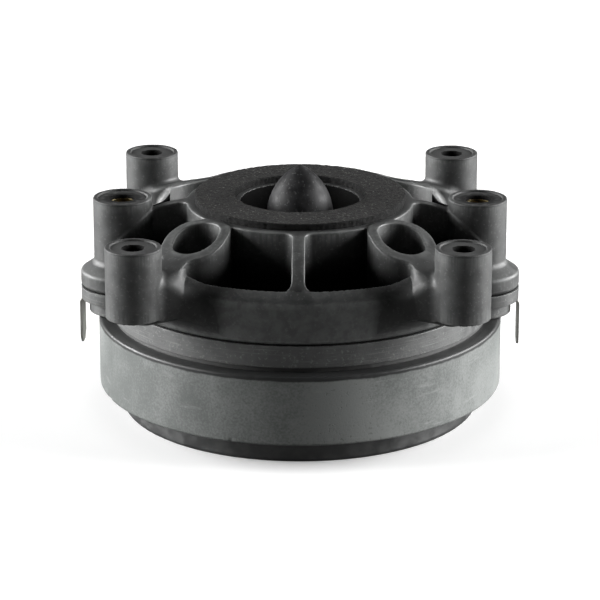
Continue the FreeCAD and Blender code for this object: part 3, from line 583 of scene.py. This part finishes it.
def housing_mesh(step, triangles):
    """Mesh of the housing's field on a grid, with a value on its points for rubbed edges, dust, painted light
    and painted shade.
    """
    low = np.array([0.0, 0.0, Z_BODY - 3 * step])
    reach = np.array([MID_X + EAR_R, CORNER[1] + CORNER_POST_R, Z_POST - low[2]])
    count = np.ceil(reach / step).astype(int) + 4
    axes = [low[i] + step * np.arange(count[i]) for i in range(3)]
    x, y, z = np.meshgrid(*axes, indexing="ij", sparse=True)
    quarter = housing_field(x, y, z).astype(np.float32)
    half = np.concatenate([quarter[:0:-1], quarter])
    whole = np.concatenate([half[:, :0:-1], half], axis=1)
    origin = np.array([-(count[0] - 1) * step, -(count[1] - 1) * step, low[2]])

    grid = openvdb.FloatGrid(4 * step)
    grid.copyFromArray(np.clip(whole, -4 * step, 4 * step))
    points, quads = grid.convertToQuads(0.0)
    places = points * step + origin

    first, second, third, fourth = (places[quads[:, i]] for i in range(4))
    volume = np.einsum("ij,ij->", first, np.cross(second, third) + np.cross(third, fourth))
    if volume < 0:
        quads = quads[:, ::-1]
    made = add_piece("housing_shell", places, quads.tolist(), "housing_plastic")
    thin = made.modifiers.new("thin", "DECIMATE")
    thin.ratio = min(1.0, triangles / (2 * len(quads)))
    replace_by_evaluated(made)
    for _ in range(2):
        split_long_edges(made.data, 2.2)

    soft = box_blur(whole, int(round(0.9 / step)))
    places = settle(made)
    cell = np.rint((places - origin) / step).astype(int)
    cell = tuple(np.clip(cell, 0, np.array(whole.shape) - 1).T)
    layer = made.data.attributes.new("wear_and_painted_light", "FLOAT", "POINT")
    layer.data.foreach_set("value", wear_and_painted_light_values(places, soft[cell] - whole[cell]).astype(np.float32))

    # Throat bore faces take the near-black material: painted shade.
    made.data.materials.append(MATERIALS["bore_painted_shade"])
    for face in made.data.polygons:
        if math.hypot(face.center.x, face.center.y) < (THROAT_R + 0.1) * MM:
            face.material_index = 1
    return made


def field_and_slope(places):
    """Housing's field and its slope at points of the whole part."""
    side = np.where(places[:, :2] < 0, -1.0, 1.0)
    x, y, z = np.abs(places[:, 0]), np.abs(places[:, 1]), places[:, 2]
    reach = 0.02
    slope = np.stack([
        housing_field(x + reach, y, z) - housing_field(x - reach, y, z),
        housing_field(x, y + reach, z) - housing_field(x, y - reach, z),
        housing_field(x, y, z + reach) - housing_field(x, y, z - reach),
    ], axis=1) / (2 * reach)
    slope[:, :2] *= side
    return housing_field(x, y, z), slope


def settle(made):
    """Put the mesh's points on the field's surface and take the shading normals from the field."""
    flat = np.empty(len(made.data.vertices) * 3, np.float32)
    made.data.vertices.foreach_get("co", flat)
    places = flat.reshape(-1, 3).astype(float) / MM
    start = places.copy()
    for _ in range(3):
        value, slope = field_and_slope(places)
        steep = np.maximum((slope ** 2).sum(axis=1), 0.25)
        places = places - slope * (value / steep)[:, None]
        moved = places - start
        length = np.maximum(np.linalg.norm(moved, axis=1), 1e-9)
        places = start + moved * np.minimum(1, 0.25 / length)[:, None]
    slope = field_and_slope(places)[1]
    normals = slope / np.maximum(np.linalg.norm(slope, axis=1), 1e-9)[:, None]
    made.data.vertices.foreach_set("co", (places * MM).astype(np.float32).ravel())
    made.data.update()
    made.data.normals_split_custom_set_from_vertices(normals.tolist())
    return places


def split_long_edges(mesh, length):
    """Cut edges over a length in two, so that values on the points stay local."""
    cut = bmesh.new()
    cut.from_mesh(mesh)
    long_edges = [edge for edge in cut.edges if edge.calc_length() > length * MM]
    bmesh.ops.subdivide_edges(cut, edges=long_edges, cuts=1)
    bmesh.ops.triangulate(cut, faces=[face for face in cut.faces if len(face.verts) > 3])
    cut.to_mesh(mesh)
    cut.free()


def replace_by_evaluated(made):
    """Apply a piece's modifiers to its mesh."""
    graph = bpy.context.evaluated_depsgraph_get()
    mesh = bpy.data.meshes.new_from_object(made.evaluated_get(graph))
    made.modifiers.clear()
    made.data = mesh


def turned_grid(profile, turns, shape=None):
    """Closed lathe mesh from a closed profile of (radius, height) points; shape moves each point."""
    points = []
    for index in range(turns):
        angle = 2 * math.pi * index / turns
        for radius, height in profile:
            point = Vector((radius * math.cos(angle), radius * math.sin(angle), height))
            points.append(shape(point, radius, height) if shape else point)
    size = len(profile)
    faces = []
    for index in range(turns):
        here, after = index * size, (index + 1) % turns * size
        for place in range(size):
            onward = (place + 1) % size
            faces.append((here + place, after + place, after + onward, here + onward))
    return [tuple(point) for point in points], faces


def rounded_profile(corners, step):
    """Closed profile through rounded corners: (radius, height, round) each, cut into short runs."""
    outline = []
    size = len(corners)
    for index, (r, z, edge) in enumerate(corners):
        before = Vector(corners[index - 1][:2])
        after = Vector(corners[(index + 1) % size][:2])
        here = Vector((r, z))
        if edge == 0:
            outline.append(here)
            continue
        back = (before - here).normalized()
        forth = (after - here).normalized()
        half = math.acos(max(-1, min(1, back.dot(forth)))) / 2
        reach = edge / math.tan(half)
        centre = here + (back + forth).normalized() * (edge / math.sin(half))
        start = here + back * reach - centre
        end = here + forth * reach - centre
        for part in range(7):
            share = part / 6
            turn = start.lerp(end, share).normalized() * edge
            outline.append(centre + turn)
    dense = []
    for index, point in enumerate(outline):
        onward = outline[(index + 1) % len(outline)]
        parts = max(1, math.ceil((onward - point).length / step))
        dense += [tuple(point.lerp(onward, part / parts)) for part in range(parts)]
    return dense


GASKET_R = 22.7
GASKET_BORE_R = 13.8
Z_GASKET = 46.9
MAGNET_R = 43.5
MAGNET_BORE_R = 25.0
Z_MAGNET_FOOT = 5.5
Z_MAGNET_TOP = 20.6


def ragged_gasket():
    """Foam ring whose surface and cut edges crumble a little."""
    profile = rounded_profile([
        (GASKET_BORE_R, Z_SEAT, 0.05), (GASKET_R, Z_SEAT, 0.05),
        (GASKET_R, Z_GASKET, 0.3), (GASKET_BORE_R, Z_GASKET, 0.3)], 0.28)

    def crumble(point, radius, height):
        if height < Z_SEAT + 0.02:
            return point
        rough = noise.noise(point * 2.1) * 0.10 + noise.noise(point * 0.7) * 0.04
        outer = max(0.0, 1 - min(radius - GASKET_BORE_R, GASKET_R - radius) / 0.5)
        ragged = noise.noise(point * 1.25 + Vector((9, 4, 2))) * 0.26 * outer
        side = Vector((point.x, point.y, 0)).normalized()
        sign = 1 if radius > 18 else -1
        lifted = point - side * (sign * (0.05 * outer + ragged * 0.5 + abs(rough) * outer))
        lifted.z += min(0.0, rough - 0.03) if height > 46.4 else 0.0
        return lifted

    points, faces = turned_grid(profile, 720, crumble)
    made = add_piece("gasket_ring", points, faces, "gasket_foam")
    # Points along the inner and outer edges are marked for painted shade in the foam's colour.
    layer = made.data.attributes.new("cut", "FLOAT", "POINT")
    inside = [GASKET_BORE_R + 0.18 < math.hypot(point[0], point[1]) < GASKET_R - 0.2 for point in points]
    layer.data.foreach_set("value", [0.0 if value else 1.0 for value in inside])
    return made


def chipped_magnet():
    """Ferrite ring with soft edges, small chips along them and a faint wave on its faces."""
    low, high = Z_MAGNET_FOOT, Z_MAGNET_TOP
    profile = rounded_profile([
        (MAGNET_BORE_R, low, 0.3), (MAGNET_R, low, 0.55),
        (MAGNET_R, high, 0.55), (MAGNET_BORE_R, high, 0.3)], 0.7)
    chips = []

    def chip(point, radius, height):
        edge = min(height - low, high - height)
        amount = 0.0
        if radius > MAGNET_R - 1.5 and edge < 1.6:
            coarse = noise.noise(point * 0.16 + Vector((3, 1, 7)))
            fine = noise.noise(point * 0.9)
            amount = max(0.0, coarse * 0.9 + fine * 0.55 - 0.42) * max(0.0, 1 - edge / 1.6)
        chips.append(min(1.0, amount * 5))
        side = Vector((point.x, point.y, 0)).normalized()
        wave = noise.noise(point * 0.35) * 0.015
        depth = min(amount, 0.5) * (0.9 if height < 13 else 0.35)
        return point - side * (depth + max(0.0, wave))

    points, faces = turned_grid(profile, 900, chip)
    made = add_piece("ferrite_ring", points, faces, "ferrite")
    layer = made.data.attributes.new("chip", "FLOAT", "POINT")
    layer.data.foreach_set("value", chips)
    return made


for piece, node_name, slot in (
    (housing_mesh(0.3, 165000), "throat_housing", "housing_plastic"),
    (ragged_gasket(), "throat_gasket", "gasket_foam"),
    (chipped_magnet(), "magnet", "ferrite"),
):
    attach(piece, "driver")
    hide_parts(node_name)


# Floor, light and camera

def background_share(tree, mirrored):
    """1 for rays from the camera or through glass, and mirrored for rays from a glossy surface."""
    rays = tree.nodes.new("ShaderNodeLightPath")
    share = rays.outputs["Is Camera Ray"]
    for name, amount in (("Is Glossy Ray", mirrored), ("Is Transmission Ray", 1.0)):
        scaled = tree.nodes.new("ShaderNodeMath")
        scaled.operation = "MULTIPLY"
        tree.links.new(rays.outputs[name], scaled.inputs[0])
        if isinstance(amount, bpy.types.NodeSocket):
            tree.links.new(amount, scaled.inputs[1])
        else:
            scaled.inputs[1].default_value = amount
        largest = tree.nodes.new("ShaderNodeMath")
        largest.operation = "MAXIMUM"
        tree.links.new(share, largest.inputs[0])
        tree.links.new(scaled.outputs[0], largest.inputs[1])
        share = largest.outputs[0]
    return share


def pale_floor():
    """White floor that keeps the soft contact shadow."""
    mesh = bpy.data.meshes.new("floor")
    size = 3.0
    corners = [(-size, -size, 0), (size, -size, 0), (size, size, 0), (-size, size, 0)]
    mesh.from_pydata(corners, [], [(0, 1, 2, 3)])
    made = bpy.data.objects.new("floor", mesh)
    bpy.context.scene.collection.objects.link(made)
    s = Shader("floor")
    share = background_share(s.tree, 0.1)
    s.feed(s.surface.inputs["Base Color"], s.blend(share, (0.07, 0.07, 0.07), (0.80, 0.80, 0.80)))
    s.surface.inputs["Roughness"].default_value = 1.0
    s.surface.inputs["Specular IOR Level"].default_value = 0.0
    s.surface.inputs["Emission Color"].default_value = (1, 1, 1, 1)
    s.feed(s.surface.inputs["Emission Strength"], s.times(share, 0.29))
    mesh.materials.append(s.material)
    made.location.z = -0.00002


def softbox(name, place, aim, size_x, size_y, radiance):
    """Large area light."""
    light = bpy.data.lights.new(name, "AREA")
    light.shape = "RECTANGLE"
    light.size = size_x
    light.size_y = size_y
    light.energy = radiance * math.pi * size_x * size_y
    made = bpy.data.objects.new(name, light)
    bpy.context.scene.collection.objects.link(made)
    made.location = place
    made.rotation_euler = (Vector(aim) - Vector(place)).to_track_quat("-Z", "Y").to_euler()
    made.visible_camera = False


def studio_world():
    """White for the camera; for the object dim, darkest on the camera's side."""
    world = bpy.data.worlds.new("studio")
    bpy.context.scene.world = world
    world.use_nodes = True
    tree = world.node_tree
    background = tree.nodes["Background"]
    background.inputs["Color"].default_value = (1, 1, 1, 1)
    place = tree.nodes.new("ShaderNodeTexCoord")
    split = tree.nodes.new("ShaderNodeSeparateXYZ")
    tree.links.new(place.outputs["Generated"], split.inputs[0])
    rises = []
    for levels in ((-0.6, 0.9, 0.01, 0.12), (0.3, 0.95, 0.0, 0.2)):
        rise = tree.nodes.new("ShaderNodeMapRange")
        rise.interpolation_type = "SMOOTHSTEP"
        tree.links.new(split.outputs["Y"], rise.inputs[0])
        for index, value in enumerate(levels):
            rise.inputs[index + 1].default_value = value
        rises.append(rise.outputs[0])
    larger = tree.nodes.new("ShaderNodeMath")
    larger.operation = "MAXIMUM"
    tree.links.new(rises[0], larger.inputs[0])
    tree.links.new(background_share(tree, rises[1]), larger.inputs[1])
    tree.links.new(larger.outputs[0], background.inputs["Strength"])


def camera():
    """Long lens at the photograph's viewing angle."""
    elevation = math.radians(18.552)
    yaw = math.radians(-0.592)
    level = Vector((math.sin(yaw), math.cos(yaw), 0)) * math.cos(elevation)
    forward = level - Vector((0, 0, math.sin(elevation)))
    right = Vector((math.cos(yaw), -math.sin(yaw), 0))
    up = right.cross(forward)
    data = bpy.data.cameras.new("camera")
    data.lens = 190.41
    data.sensor_width = 36
    data.clip_start = 0.01
    made = bpy.data.objects.new("camera", data)
    bpy.context.scene.collection.objects.link(made)
    turn = Matrix((right, up, -forward)).transposed().to_4x4()
    made.matrix_world = Matrix.Translation((0.00674, -0.65197, 0.2415)) @ turn
    bpy.context.scene.camera = made


pale_floor()
studio_world()
MIDDLE = (0, 0, 0.03)
for name, side in (("light_left", -1), ("light_right", 1)):
    softbox(name, (side * 1.0, 0.15, 0.27), MIDDLE, size_x=0.9, size_y=0.62, radiance=18.5)
softbox("light_top", (0, 0.1, 1.3), MIDDLE, size_x=1.2, size_y=1.0, radiance=0.25)
camera()
bpy.context.scene.view_settings.view_transform = "Standard"
